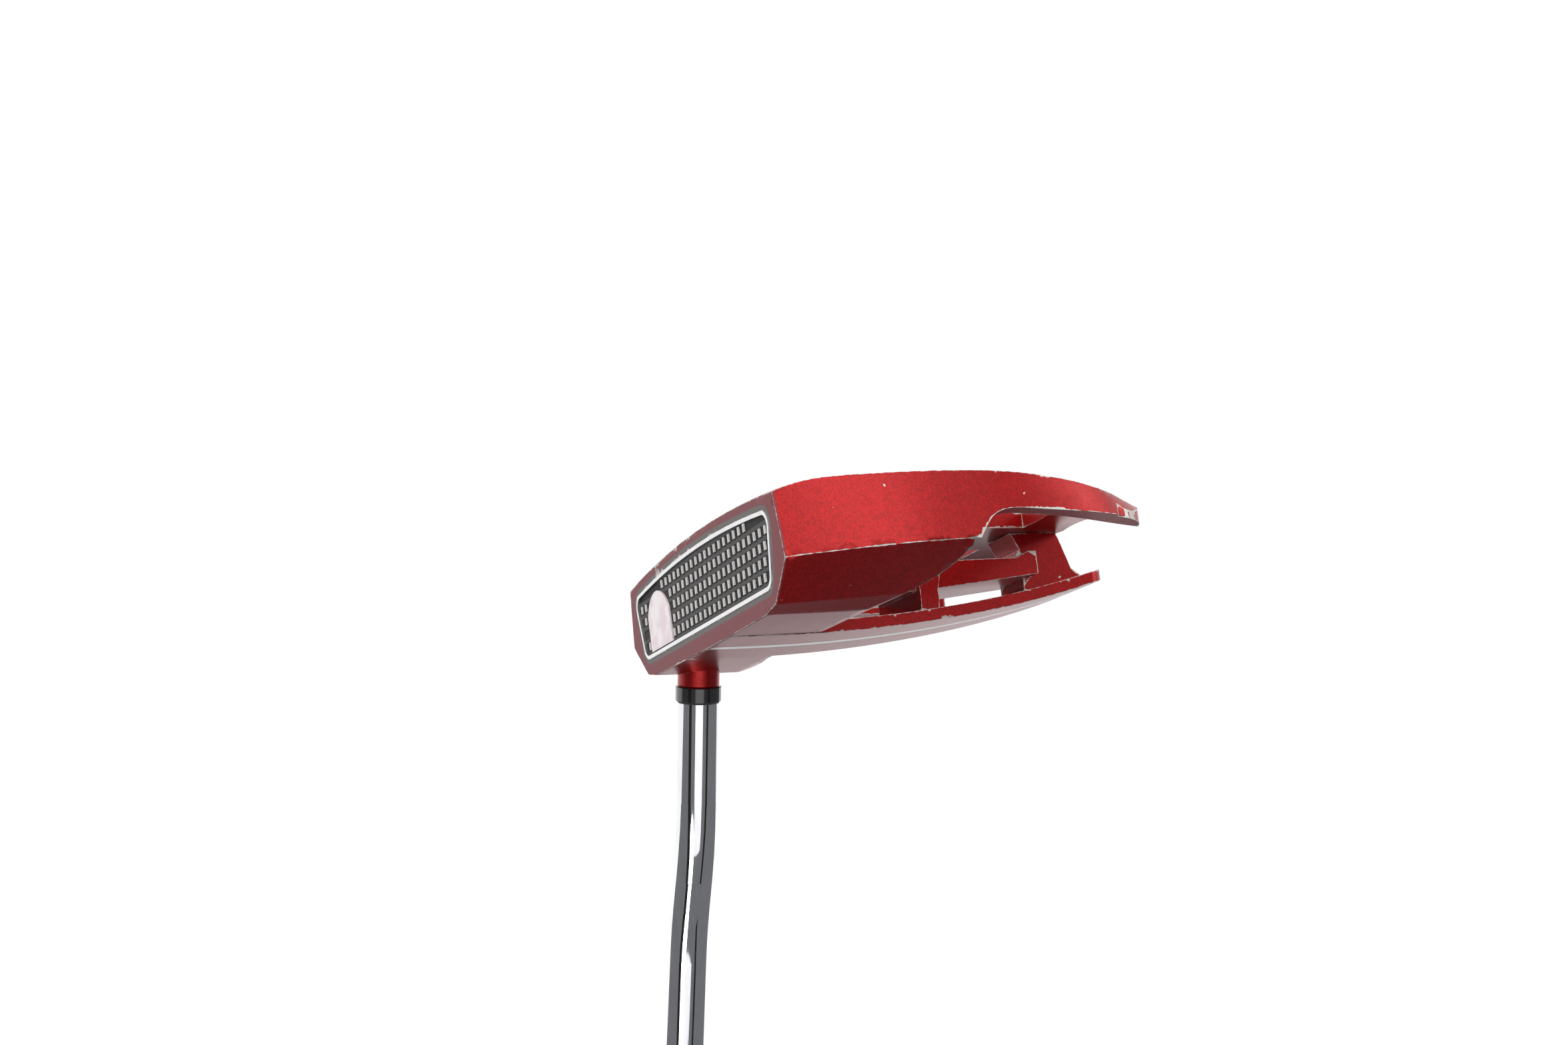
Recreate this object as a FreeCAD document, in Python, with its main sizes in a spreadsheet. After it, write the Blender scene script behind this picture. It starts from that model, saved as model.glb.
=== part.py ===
"""A right-handed mallet putter: a winged head with a face insert, a double-bend shaft and a grip.

Millimetres, +Z up, as the club stands at address. The origin is on the ground at the middle of the
sole's rest pad. The face looks along -Y, the toe points along -X and the shaft leans towards +X.
Depths into the head are counted from the leading edge and turned into Y by the function back.
"""

import FreeCAD, Part

import os
from math import cos, pi, radians, sin, tan

import Sketcher
from FreeCAD import Placement, Rotation, Vector

X_AXIS = Vector(1, 0, 0)
Z_AXIS = Vector(0, 0, 1)

doc = FreeCAD.newDocument("putter")

# ---------------------------------------------------------------------------------------------
# Driving dimensions
# ---------------------------------------------------------------------------------------------

DIMENSIONS = {
    # angles of the club, in degrees
    "loft_angle": 3.0,
    "lie_angle": 69.0,
    "tip_lean": 17.4,
    "neck_lean": 30.0,
    # head casting
    "leading_edge_setback": 14.0,
    "leading_edge_rise": 2.0,
    "face_chine_half": 49.0,
    "wing_chine_half": 58.0,
    "face_sole_half": 47.3,
    "wing_sole_half": 55.5,
    "facet_top_half": 41.3,
    "chine_rise": 18.1,
    "facet_top_rise": 25.5,
    "crown_rise": 26.7,
    "sole_corner_rise": 5.0,
    "sole_side_rise": 3.0,
    "wing_tail_rise": 6.3,
    "ground_pad_dip": 0.3,
    "bar_depth": 22.4,
    # sole plate between the wings
    "plate_thick": 3.5,
    "plate_bottom": 0.5,
    "keel_half": 11.0,
    # crown bridge, its column, its beam and its pillar
    "bridge_half": 13.9,
    "bridge_thick": 2.5,
    "bridge_front": 2.0,
    "bridge_length": 90.0,
    "bond_thick": 0.2,
    "column_half": 11.0,
    "beam_half": 9.0,
    "pillar_half": 5.5,
    "line_width": 2.4,
    "line_depth": 0.4,
    "line_length": 85.0,
    # face insert
    "pocket_depth": 4.0,
    "tape_thick": 0.3,
    "bed_thick": 3.3,
    "rim_width": 0.8,
    "rim_stand": 0.15,
    "hinge_pitch": 3.02,
    "hinge_row_pitch": 2.9,
    "hinge_stagger": 1.1,
    "hinge_width": 1.2,
    "hinge_height": 1.7,
    "hinge_stand": 0.3,
    "badge_centre": 28.9,
    "badge_half": 7.6,
    "badge_thick": 0.4,
    # sole weights
    "weight_spread": 24.0,
    "weight_depth_back": 13.0,
    "weight_radius": 6.0,
    "weight_length": 7.0,
    "weight_recess": 1.4,
    "ring_section": 0.6,
    # hosel, ferrule and shaft, measured along the leaning axis of the tip
    "hosel_offset": 36.6,
    "hosel_back": 11.8,
    "hosel_base": 24.8,
    "neck_length": 4.2,
    "neck_radius": 4.75,
    "shank_radius": 4.3,
    "shank_length": 14.0,
    "peg_radius": 3.7,
    "peg_length": 26.0,
    "tip_radius": 4.7,
    "tip_wall": 0.7,
    "ferrule_radius": 5.25,
    "ferrule_height": 3.8,
    "first_bend_at": 35.5,
    "second_bend_at": 58.4,
    "bend_radius": 80.0,
    "butt_radius": 7.35,
    "step_count": 13,
    "step_pitch": 27.0,
    "club_length": 864.0,
    # grip
    "grip_length": 266.0,
    "grip_tape_thick": 0.25,
    "cap_thick": 4.0,
    "vent_radius": 1.8,
}

sheet = doc.addObject("Spreadsheet::Sheet", "Dimensions")
for row, (alias, value) in enumerate(DIMENSIONS.items(), start=1):
    sheet.set(f"A{row}", alias)
    sheet.set(f"B{row}", str(value))
    sheet.setAlias(f"B{row}", alias)
doc.recompute()


def dim(alias):
    """The value of one cell of the sheet."""
    return float(sheet.get(alias))


def bind(obj, **expressions):
    """Bind properties to expressions; a bare cell name is written as it stands in the sheet."""
    for prop, expression in expressions.items():
        obj.setExpression(prop, expression.replace("@", "Dimensions."))


def back(depth):
    """The Y of a point that lies depth behind the leading edge."""
    return depth - dim("leading_edge_setback")


def head_placement(x, depth, z):
    return Placement(Vector(x, back(depth), z), Rotation())


# ---------------------------------------------------------------------------------------------
# Small helpers for sketches and features
# ---------------------------------------------------------------------------------------------

def origin_plane(body, role):
    """One of a body's own origin planes, such as XY_Plane."""
    return next(f for f in body.Origin.OriginFeatures if f.Role == role)


def add_body(name):
    return doc.addObject("PartDesign::Body", name)


def body_sketch(body, role, name):
    sketch = body.newObject("Sketcher::SketchObject", name)
    sketch.AttachmentSupport = [(origin_plane(body, role), "")]
    sketch.MapMode = "FlatFace"
    return sketch


def add_circle(sketch, radius_cell):
    """A circle about the sketch's origin, its radius bound to a cell or an expression of cells."""
    index = sketch.addGeometry(Part.Circle(Vector(), Z_AXIS, 5.0), False)
    sketch.addConstraint(Sketcher.Constraint("Coincident", index, 3, -1, 1))
    radius = sketch.addConstraint(Sketcher.Constraint("Radius", index, 5.0))
    bind(sketch, **{f"Constraints[{radius}]": radius_cell})


def add_polygon(sketch, points):
    """A closed run of straight lines through (u, v) points."""
    corners = [Vector(u, v, 0) for u, v in points]
    for start, end in zip(corners, corners[1:] + corners[:1]):
        sketch.addGeometry(Part.LineSegment(start, end), False)


def pad(body, sketch, length, name, midplane=False, reverse=False):
    feature = body.newObject("PartDesign::Pad", name)
    feature.Profile = sketch
    bind(feature, Length=length)
    feature.Midplane = midplane
    feature.Reversed = reverse
    sketch.Visibility = False
    return feature


def revolve_profile(body, points, name):
    """Revolve an (radius, height) outline a full turn about the body's own Z."""
    sketch = body_sketch(body, "XZ_Plane", name + "Outline")
    add_polygon(sketch, points)
    feature = body.newObject("PartDesign::Revolution", name)
    feature.Profile = sketch
    feature.ReferenceAxis = (sketch, ["V_Axis"])
    feature.Angle = 360.0
    return feature


def tube_body(name, outer, inner, length):
    """A plain tube along the body's own Z, from two circles and a pad."""
    body = add_body(name)
    sketch = body_sketch(body, "XY_Plane", name + "Rings")
    add_circle(sketch, outer)
    add_circle(sketch, inner)
    pad(body, sketch, length, name + "Wall")
    return body


def smooth(points):
    """One spline edge through a few points."""
    curve = Part.BSplineCurve()
    curve.interpolate(points)
    return curve.toShape()


def straight(start, end):
    return Part.LineSegment(start, end).toShape()


def prism(name, edges, direction):
    """A solid block swept from a flat closed outline."""
    feature = doc.addObject("Part::Feature", name)
    feature.Shape = Part.Face(Part.Wire(edges)).extrude(direction)
    return feature


def cut(name, base, tool):
    feature = doc.addObject("Part::Cut", name)
    feature.Base = base
    feature.Tool = tool
    return feature


def fuse(name, pieces):
    feature = doc.addObject("Part::MultiFuse", name)
    feature.Shapes = pieces
    feature.Refine = True
    return feature


def cylinder(name, placement, radius, height):
    feature = doc.addObject("Part::Cylinder", name)
    bind(feature, Radius=radius, Height=height)
    feature.Placement = placement
    return feature


def box(name, corner, length, width, height):
    feature = doc.addObject("Part::Box", name)
    feature.Length, feature.Width, feature.Height = length, width, height
    feature.Placement.Base = corner
    return feature


sub_parts = []


def keep(obj, label):
    """Name a finished sub-part and list it for export."""
    obj.Label = label
    sub_parts.append(obj)
    return obj


# ---------------------------------------------------------------------------------------------
# Head casting: front bar, two wings and the rear sole plate
# ---------------------------------------------------------------------------------------------

def blend(start, end, share):
    return start + (end - start) * share


def sole_half(depth):
    """Half width at the sole's edge: swells from the face to the wings, then draws in to the tips."""
    narrowing = max(0.0, 1 - depth / 36) ** 1.7
    tip = max(0.0, (depth - 45) / 12) ** 2.2
    return blend(dim("wing_sole_half"), dim("face_sole_half"), narrowing) - 0.7 * tip


def chine_half(depth):
    """Half width at the chine, the sharp line where the side turns into the upper facet."""
    narrowing = max(0.0, 1 - depth / 33) ** 1.6
    draw_in = 4.0 * (max(0.0, depth - 42) / 38) ** 2
    return blend(dim("wing_chine_half"), dim("face_chine_half"), narrowing) - draw_in


def sole_edge_rise(depth):
    """Height of the sole's edge: high at the face corner, low along the side, high at the tips."""
    corner = (dim("sole_corner_rise") - dim("sole_side_rise")) * max(0.0, 1 - depth / 12) ** 2
    tail = dim("wing_tail_rise") * max(0.0, (depth - 38) / 42) ** 2
    return dim("sole_side_rise") + corner + tail


def sole_middle_rise(depth):
    """Height of the sole's middle: it dips a little below the ground where the rest pad is cut flat."""
    lead = (dim("leading_edge_rise") + dim("ground_pad_dip")) * max(0.0, 1 - depth / 9) ** 1.5
    tail = (dim("plate_bottom") + dim("ground_pad_dip")) * min(1.0, max(0.0, (depth - 23) / 11))
    return lead + tail - dim("ground_pad_dip")


def crown_height(depth):
    return dim("crown_rise") - 0.0006 * depth ** 2


def head_section(depth):
    """The closed outline of the head, square to Y, at one depth behind the leading edge."""
    y = back(depth)
    facet_top_half = dim("facet_top_half") + 0.1 * depth
    right = [Vector(sole_half(depth), y, sole_edge_rise(depth)),
             Vector(chine_half(depth), y, dim("chine_rise") - 0.035 * depth),
             Vector(facet_top_half, y, dim("facet_top_rise") - 0.04 * depth),
             Vector(facet_top_half - 5.4, y, crown_height(depth) - 0.25)]
    left = [Vector(-p.x, y, p.z) for p in right]
    edges = [Part.Arc(left[0], Vector(0, y, sole_middle_rise(depth)), right[0]).toShape()]
    edges += [straight(a, b) for a, b in zip(right, right[1:])]
    edges.append(Part.Arc(right[3], Vector(0, y, crown_height(depth)), left[3]).toShape())
    edges += [straight(a, b) for a, b in zip(left[::-1], left[-2::-1])]
    return Part.Wire(edges)


def sole_shell_section(depth):
    """The outline of a shell as thick as the plate, resting on the sole's curve at one depth."""
    y = back(depth)
    half, edge, middle = sole_half(depth), sole_edge_rise(depth), sole_middle_rise(depth)
    thick = dim("plate_thick")
    lower = [Vector(-half, y, edge), Vector(0, y, middle), Vector(half, y, edge)]
    upper = [p + Z_AXIS * thick for p in reversed(lower)]
    return Part.Wire([Part.Arc(*lower).toShape(), straight(lower[2], upper[0]),
                      Part.Arc(*upper).toShape(), straight(upper[2], lower[0])])


SECTION_DEPTHS = (-4, 3, 9, 16, 23, 34, 46, 58, 70, 82)

head_form = doc.addObject("Part::Feature", "HeadForm")
head_form.Shape = Part.makeLoft([head_section(depth) for depth in SECTION_DEPTHS], True, False)


def face_placement():
    """A frame on the face: its X along the face, its Y up the face, its Z out of the face."""
    tilt = Rotation(X_AXIS, 90 - dim("loft_angle"))
    return Placement(Vector(0, back(0), 0), tilt)


def block_ahead_of_face():
    """Everything in front of the lofted face plane."""
    block = doc.addObject("Part::Box", "AheadOfFace")
    block.Length, block.Width, block.Height = 140, 60, 20
    block.Placement = face_placement() * Placement(Vector(-70, -10, 0), Rotation())
    return block


def scoop_block():
    """The space above the wings: its floor falls from the crown in a hollow curve to the wing tops."""
    profile = [(19, 27.2), (26, 24.8), (31, 22.7), (35, 19.8), (38.5, 15.4), (41.5, 12.0), (44.5, 10.9),
               (50, 10.8), (60, 11.2), (70, 11.6), (84, 12.4)]
    side = [Vector(-70, back(depth), z) for depth, z in profile]
    high_front = Vector(-70, back(19), 45)
    high_rear = Vector(-70, back(84), 45)
    edges = [smooth(side), straight(side[-1], high_rear), straight(high_rear, high_front),
             straight(high_front, side[0])]
    return prism("Scoop", edges, Vector(140, 0, 0))


BAY_EDGE = [(0, dim("bar_depth")), (14, dim("bar_depth")), (27, 23.4), (38, 26.6), (46, 32), (50.6, 40),
            (52.2, 50), (50.8, 61), (47.6, 71), (45, 82)]


def bay_block():
    """The open bay between the wings, behind the front bar, seen from above."""
    right = [Vector(x, back(depth), -5) for x, depth in BAY_EDGE]
    left = [Vector(-p.x, p.y, p.z) for p in right[:0:-1]]
    outline = smooth(left + right)
    closing = straight(right[-1], left[0])
    return prism("Bay", [outline, closing], Vector(0, 0, 50))


def tip_block():
    """The space behind the rounded wing tips."""
    low = -5
    points = [(-70, 60), (-52.5, 71), (-49.4, 77.2), (-46.6, 79.2), (-44, 79.6), (0, 79.6)]
    left = [Vector(x, back(depth), low) for x, depth in points]
    right = [Vector(-p.x, p.y, low) for p in left[-2::-1]]
    far = 40
    edges = [smooth(left[1:5]), straight(left[4], right[0]), smooth(right[0:4])]
    corners = [right[3], Vector(75, back(60), low), Vector(75, back(79) + far, low),
               Vector(-75, back(79) + far, low), Vector(-75, back(60), low), left[1]]
    edges += [straight(a, b) for a, b in zip(corners, corners[1:])]
    return prism("BehindTips", edges, Vector(0, 0, 50))


def sole_plate_block():
    """The plate at sole level: a keel under the bridge and two arms out to the wings, open between."""
    keel = dim("keel_half")

    def corner(x, depth):
        return Vector(x, back(depth), -5)

    rear = [corner(8, 84), corner(20, 80.5), corner(33, 76.5), corner(48, 71)]
    front = [corner(52, 59.5), corner(37, 65.5), corner(22, 70.5), corner(keel, 72.5)]
    bar = corner(keel, dim("bar_depth") - 2)
    edges = []
    for side in (1, -1):
        mirror = [Vector(side * p.x, p.y, p.z) for p in rear + front + [bar]]
        edges += [smooth(mirror[:4]), straight(mirror[3], mirror[4]), smooth(mirror[4:8]),
                  straight(mirror[7], mirror[8])]
    edges += [straight(corner(-8, 84), corner(8, 84)), straight(bar, Vector(-bar.x, bar.y, bar.z))]
    outline = Part.Face(Part.Wire(Part.__sortEdges__(edges))).extrude(Z_AXIS * 50)
    shell = Part.makeLoft([sole_shell_section(depth) for depth in SECTION_DEPTHS + (88,)], True, False)
    feature = doc.addObject("Part::Feature", "SolePlate")
    feature.Shape = outline.common(shell)
    return feature


INSERT_CORNERS = [(44.4, 7.6), (41.2, 22.4), (-41.2, 22.4), (-44.4, 7.6)]
INSERT_SOLE_MIDDLE = (0, 5.1)
INSERT_CORNER_RADIUS = 3.2


def insert_wire(inset):
    """The insert's outline on the face, drawn in by inset: an arched sole side and rounded corners."""
    points = [Vector(u, v, 0) for u, v in INSERT_CORNERS]
    edges = [straight(a, b) for a, b in zip(points, points[1:])]
    edges.append(Part.Arc(points[-1], Vector(*INSERT_SOLE_MIDDLE, 0), points[0]).toShape())
    block = Part.Face(Part.Wire(edges)).extrude(Z_AXIS)
    upright = [e for e in block.Edges if e.BoundBox.ZLength > 0.5]
    rounded = block.makeFillet(INSERT_CORNER_RADIUS, upright)
    floor = min(rounded.Faces, key=lambda f: f.CenterOfMass.z)
    return floor.OuterWire.makeOffset2D(-inset) if inset else floor.OuterWire


def face_layer(name, inset, start, thickness, hole_inset=None):
    """A layer parallel to the face, from start (below the face is negative), with its length bound."""
    outline = doc.addObject("Part::Feature", name + "Outline")
    wires = [insert_wire(inset)] if hole_inset is None else [insert_wire(inset), insert_wire(hole_inset)]
    outline.Shape = Part.makeFace(wires, "Part::FaceMakerBullseye")
    outline.Placement = face_placement() * Placement(Vector(0, 0, start), Rotation())
    layer = doc.addObject("Part::Extrusion", name)
    layer.Base = outline
    layer.DirMode = "Normal"
    bind(layer, LengthFwd=thickness)
    return layer


def head_body():
    """The painted casting, cut to take the insert, the crown bridge, the hosel and the two weights."""
    faced = cut("FacedForm", head_form, block_ahead_of_face())
    scooped = cut("ScoopedForm", faced, scoop_block())
    open_bay = cut("OpenForm", scooped, bay_block())
    winged = cut("WingedForm", open_bay, tip_block())
    plated = fuse("PlatedForm", [winged, sole_plate_block()])
    grounded = cut("GroundedForm", plated, box("Ground", Vector(-80, -60, -10), 160, 160, 10))
    bridged = cut("BridgedForm", grounded, bridge_strip("BridgeSeat", 3, dim("bond_thick")))
    pocket = face_layer("InsertPocket", 0, -dim("pocket_depth"), "@pocket_depth + 2")
    pocketed = cut("PocketedForm", bridged, pocket)
    socket_floor = hosel_placement(-dim("shank_length"))
    socket = cylinder("HoselSocket", socket_floor, "@shank_radius", "@shank_length + 6")
    socketed = cut("SocketedForm", pocketed, socket)
    spot_face = cylinder("HoselSeat", hosel_placement(0), "@neck_radius", "@neck_length + 6")
    seated = cut("SeatedForm", socketed, spot_face)
    result = seated
    for side, sign in (("Toe", -1), ("Heel", 1)):
        place = head_placement(sign * dim("weight_spread"), dim("weight_depth_back"), -5)
        bore = cylinder(side + "WeightBore", place, "@weight_radius",
                        "@weight_recess + @weight_length + @ring_section + 5")
        result = cut(side + "BoredForm", result, bore)
    return keep(result, "head_body")


# ---------------------------------------------------------------------------------------------
# Crown bridge: the strip along the middle of the crown, its column, its beam and its pillar
# ---------------------------------------------------------------------------------------------

BRIDGE_TOP = [(-2, 26.7), (12, 26.7), (24, 26.4), (47, 24.6), (70, 21.1), (91, 16.0)]


def bridge_curve(lowering, x):
    """The bridge's crown line at one side of the head, lowered by a distance."""
    return smooth([Vector(x, back(depth), z - lowering) for depth, z in BRIDGE_TOP])


def side_band(name, top, bottom, half):
    """A band seen from the side, between two heights below the crown line, carried across the head."""
    upper = bridge_curve(top, -half)
    lower = bridge_curve(bottom, -half)
    ends = [straight(upper.Vertexes[i].Point, lower.Vertexes[i].Point) for i in (0, 1)]
    outline = Part.Wire(Part.__sortEdges__([upper, lower] + ends))
    band = doc.addObject("Part::Feature", name)
    band.Shape = Part.Face(outline).extrude(X_AXIS * (2 * half))
    return band


def strip_outline(name, half, length, corner):
    """A tall block over the strip's outline as seen from above, with rounded rear corners."""
    rear = back(length)
    shoulder = rear - corner
    front = back(dim("bridge_front"))
    edge = half - corner
    turn = corner * (1 - cos(pi / 4))
    edges = [straight(Vector(-half, shoulder, 0), Vector(-half, front, 0)),
             straight(Vector(-half, front, 0), Vector(half, front, 0)),
             straight(Vector(half, front, 0), Vector(half, shoulder, 0)),
             Part.Arc(Vector(half, shoulder, 0), Vector(half - turn, rear - turn, 0),
                      Vector(edge, rear, 0)).toShape(),
             straight(Vector(edge, rear, 0), Vector(-edge, rear, 0)),
             Part.Arc(Vector(-edge, rear, 0), Vector(turn - half, rear - turn, 0),
                      Vector(-half, shoulder, 0)).toShape()]
    return prism(name, edges, Vector(0, 0, 60))


def bridge_strip(name, above=0.0, below=0.0):
    """The curved strip on its own, or with some height above and below it, trimmed to its outline."""
    band = side_band(name + "Band", -above, dim("bridge_thick") + below, 30)
    outline = strip_outline(name + "Outline", dim("bridge_half"), dim("bridge_length"), 4)
    strip = doc.addObject("Part::Common", name)
    strip.Base, strip.Tool = band, outline
    return strip


def bridge_bond():
    """The film of adhesive between the strip and its seat in the front bar."""
    thick = dim("bridge_thick")
    film = doc.addObject("Part::Common", "BridgeBond")
    film.Base = side_band("BondBand", thick, thick + dim("bond_thick"), 30)
    film.Tool = strip_outline("BondOutline", dim("bridge_half"), dim("bar_depth") - 1.4, 1)
    return keep(film, "bridge_bond")


def side_block(name, points, half):
    """A block with an outline seen from the side, from -half to +half across the head."""
    corners = [Vector(-half, back(depth), z) for depth, z in points]
    edges = [straight(a, b) for a, b in zip(corners, corners[1:] + corners[:1])]
    return prism(name, edges, X_AXIS * (2 * half))


def spine_bridge():
    """The strip with a column, a low beam and a rear pillar under it, standing on the keel."""
    strip = bridge_strip("BridgeStrip")
    foot = dim("plate_bottom") + dim("plate_thick") + 0.2
    gap = dim("bar_depth") + 0.5
    beam = side_block("BridgeBeam", [(gap, 11.6), (71, 10.4), (74, 9.0), (76, 9.0), (76, 14.0), (60, 15.9),
                                     (43, 17.6), (gap, 18.6)], dim("beam_half"))
    column = side_block("BridgeColumn", [(45.6, 14.0), (51.2, 14.0), (50.4, 17.5), (50.3, 21.5), (52, 23.6),
                                         (52, 24.4), (44.2, 24.4), (44.2, 23.6), (46.1, 21.5), (46.2, 17.5)],
                        dim("column_half"))
    pillar = side_block("BridgePillar", [(72, foot), (83.4, foot), (84.8, 8.0), (86.2, 12.2), (88.6, 14.0),
                                         (88.6, 16.6), (72, 21), (72, 19), (74.0, 16.8), (74.0, 8.0)],
                        dim("pillar_half"))
    under = side_band("UnderStrip", 1.0, 40, 30)
    posts = fuse("BridgePosts", [beam, column, pillar])
    trimmed = doc.addObject("Part::Common", "TrimmedPosts")
    trimmed.Base, trimmed.Tool = posts, under
    whole = fuse("WholeBridge", [strip, trimmed])
    grooved = cut("GroovedBridge", whole, line_strip("LineGroove"))
    return keep(grooved, "spine_bridge")


def line_strip(name):
    """The sighting line: a thin strip let into the crown along the middle."""
    half = dim("line_width") / 2
    band = side_band(name + "Band", 0, dim("line_depth"), half)
    reach = doc.addObject("Part::Box", name + "Reach")
    reach.Placement = head_placement(-half, dim("bridge_front") + 0.3, 0)
    bind(reach, Length="@line_width", Width="@line_length", Height="60")
    strip = doc.addObject("Part::Common", name)
    strip.Base, strip.Tool = band, reach
    return strip


# ---------------------------------------------------------------------------------------------
# Face insert
# ---------------------------------------------------------------------------------------------

def insert_tape():
    return keep(face_layer("InsertTape", 0, -dim("pocket_depth"), "@tape_thick"), "insert_tape")


def insert_bed():
    """The dark elastomer bed that fills the pocket inside its metal rim."""
    start = dim("tape_thick") - dim("pocket_depth")
    return keep(face_layer("InsertBed", dim("rim_width"), start, "@bed_thick"), "insert_bed")


def insert_rim():
    """The bright metal rim round the insert, a hair proud of the face."""
    start = dim("tape_thick") - dim("pocket_depth")
    rim = face_layer("InsertRim", 0, start, "@pocket_depth - @tape_thick + @rim_stand", dim("rim_width"))
    return keep(rim, "insert_rim")


HINGE_ROWS = 5
FIRST_HINGE = (-41.9, 8.0)
HINGE_COLUMNS = 28
BADGE_LOW = 8.7
BADGE_SHOULDER = 13.6
BADGE_HIGH = 21.2


def hinge_solid():
    """One hinge: a small upright bar with rounded top edges, its foot on the insert's bed."""
    width = dim("hinge_width")
    height = dim("hinge_height")
    stand = dim("hinge_stand")
    bar = Part.makeBox(width, height, stand, Vector(-width / 2, -height / 2, 0))
    top = [e for e in bar.Edges if e.BoundBox.ZMin > stand - 0.01 and e.BoundBox.YLength > 0.5]
    return bar.makeFillet(0.22, top)


def on_the_bed(x, rise, row):
    """Whether a hinge at this place stands clear of the rim, of the sole side's curve and of the badge."""
    side_limit = 41.4 - 0.36 * (rise - 10.8)
    if row == 0:
        side_limit = 30.5
    aside = abs(x - dim("badge_centre")) - dim("hinge_width") / 2
    sag = (BADGE_SHOULDER - BADGE_LOW) * (aside / dim("badge_half")) ** 2
    under_badge = aside < dim("badge_half") + 0.5 and rise + dim("hinge_height") > BADGE_LOW + max(0.0, sag)
    return abs(x) < side_limit and not under_badge


def face_hinges():
    """The rows of steel hinges that stand on the bed, each row set a little further from the toe."""
    bar = hinge_solid()
    bed_top = dim("tape_thick") + dim("bed_thick") - dim("pocket_depth")
    bars = []
    for row in range(HINGE_ROWS):
        rise = FIRST_HINGE[1] + row * dim("hinge_row_pitch")
        for column in range(HINGE_COLUMNS):
            x = FIRST_HINGE[0] + row * dim("hinge_stagger") + column * dim("hinge_pitch")
            if on_the_bed(x, rise, row):
                one = bar.copy()
                one.translate(Vector(x, rise, bed_top))
                bars.append(one)
    group = doc.addObject("Part::Feature", "FaceHinges")
    group.Shape = Part.makeCompound(bars)
    group.Placement = face_placement()
    return keep(group, "face_hinges")


def badge():
    """The blank badge near the heel: an arch with its round end towards the sole."""
    centre = dim("badge_centre")
    left, right = centre - dim("badge_half"), centre + dim("badge_half")
    outline = [Part.Arc(Vector(left, BADGE_SHOULDER, 0), Vector(centre, BADGE_LOW, 0),
                        Vector(right, BADGE_SHOULDER, 0)).toShape(),
               straight(Vector(right, BADGE_SHOULDER, 0), Vector(right, BADGE_HIGH, 0)),
               straight(Vector(right, BADGE_HIGH, 0), Vector(left, BADGE_HIGH, 0)),
               straight(Vector(left, BADGE_HIGH, 0), Vector(left, BADGE_SHOULDER, 0))]
    shape = doc.addObject("Part::Feature", "BadgeOutline")
    shape.Shape = Part.Face(Part.Wire(outline))
    bed_top = dim("tape_thick") + dim("bed_thick") - dim("pocket_depth")
    shape.Placement = face_placement() * Placement(Vector(0, 0, bed_top), Rotation())
    plate = doc.addObject("Part::Extrusion", "Badge")
    plate.Base = shape
    plate.DirMode = "Normal"
    bind(plate, LengthFwd="@badge_thick")
    return keep(plate, "badge")


# ---------------------------------------------------------------------------------------------
# Sole weights
# ---------------------------------------------------------------------------------------------

def sole_weight(side, sign):
    """A screw-in weight: a short plug with a chamfered head and a six-sided socket towards the sole."""
    name = side.capitalize() + "Weight"
    body = add_body(name)
    radius = dim("weight_radius")
    length = dim("weight_length")
    revolve_profile(body, [(0, 0), (radius - 0.6, 0), (radius - 0.05, 0.55), (radius - 0.05, length - 0.8),
                           (radius - 0.85, length), (0, length)], name + "Plug")
    doc.recompute()
    socket = body_sketch(body, "XY_Plane", name + "SocketOutline")
    across = radius * 0.45
    add_polygon(socket, [(across * cos(k * pi / 3), across * sin(k * pi / 3)) for k in range(6)])
    pocket = body.newObject("PartDesign::Pocket", name + "Socket")
    pocket.Profile = socket
    pocket.Length = 3.0
    pocket.Reversed = True
    aside = sign * dim("weight_spread")
    body.Placement = head_placement(aside, dim("weight_depth_back"), dim("weight_recess"))
    return keep(body, side + "_weight")


def weight_ring(side, sign):
    """The soft ring behind a weight that stops it from working loose."""
    ring = doc.addObject("Part::Torus", side.capitalize() + "WeightRing")
    bind(ring, Radius1="@weight_radius - @ring_section - 0.1", Radius2="@ring_section / 2")
    z = dim("weight_recess") + dim("weight_length") + dim("ring_section") / 2
    ring.Placement = head_placement(sign * dim("weight_spread"), dim("weight_depth_back"), z)
    return keep(ring, side + "_weight_ring")


# ---------------------------------------------------------------------------------------------
# Hosel, ferrule and shaft
# ---------------------------------------------------------------------------------------------

def lean(angle):
    """The unit vector that leans by angle degrees from +Z towards the heel."""
    return Vector(sin(radians(angle)), 0, cos(radians(angle)))


def hosel_placement(along):
    """A frame on the leaning axis of the hosel, some way along it from the seat on the crown."""
    axis = lean(dim("tip_lean"))
    seat = Vector(dim("hosel_offset"), back(dim("hosel_back")), dim("hosel_base"))
    return Placement(seat + axis * along, Rotation(Z_AXIS, axis))


def hosel():
    """The hosel: a shank pressed into the bar, a short painted neck and a peg inside the shaft."""
    body = add_body("Hosel")
    neck = dim("neck_length")
    low = -dim("shank_length")
    peg_end = neck + dim("peg_length")
    shank, neck_radius, peg = dim("shank_radius"), dim("neck_radius"), dim("peg_radius")
    revolve_profile(body, [(0, low), (shank - 0.5, low), (shank, low + 0.5), (shank, 0), (neck_radius, 0),
                           (neck_radius, neck - 0.25), (neck_radius - 0.25, neck), (peg, neck),
                           (peg, peg_end - 0.5), (peg - 0.5, peg_end), (0, peg_end)], "HoselTurning")
    body.Placement = hosel_placement(0)
    return keep(body, "hosel")


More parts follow.
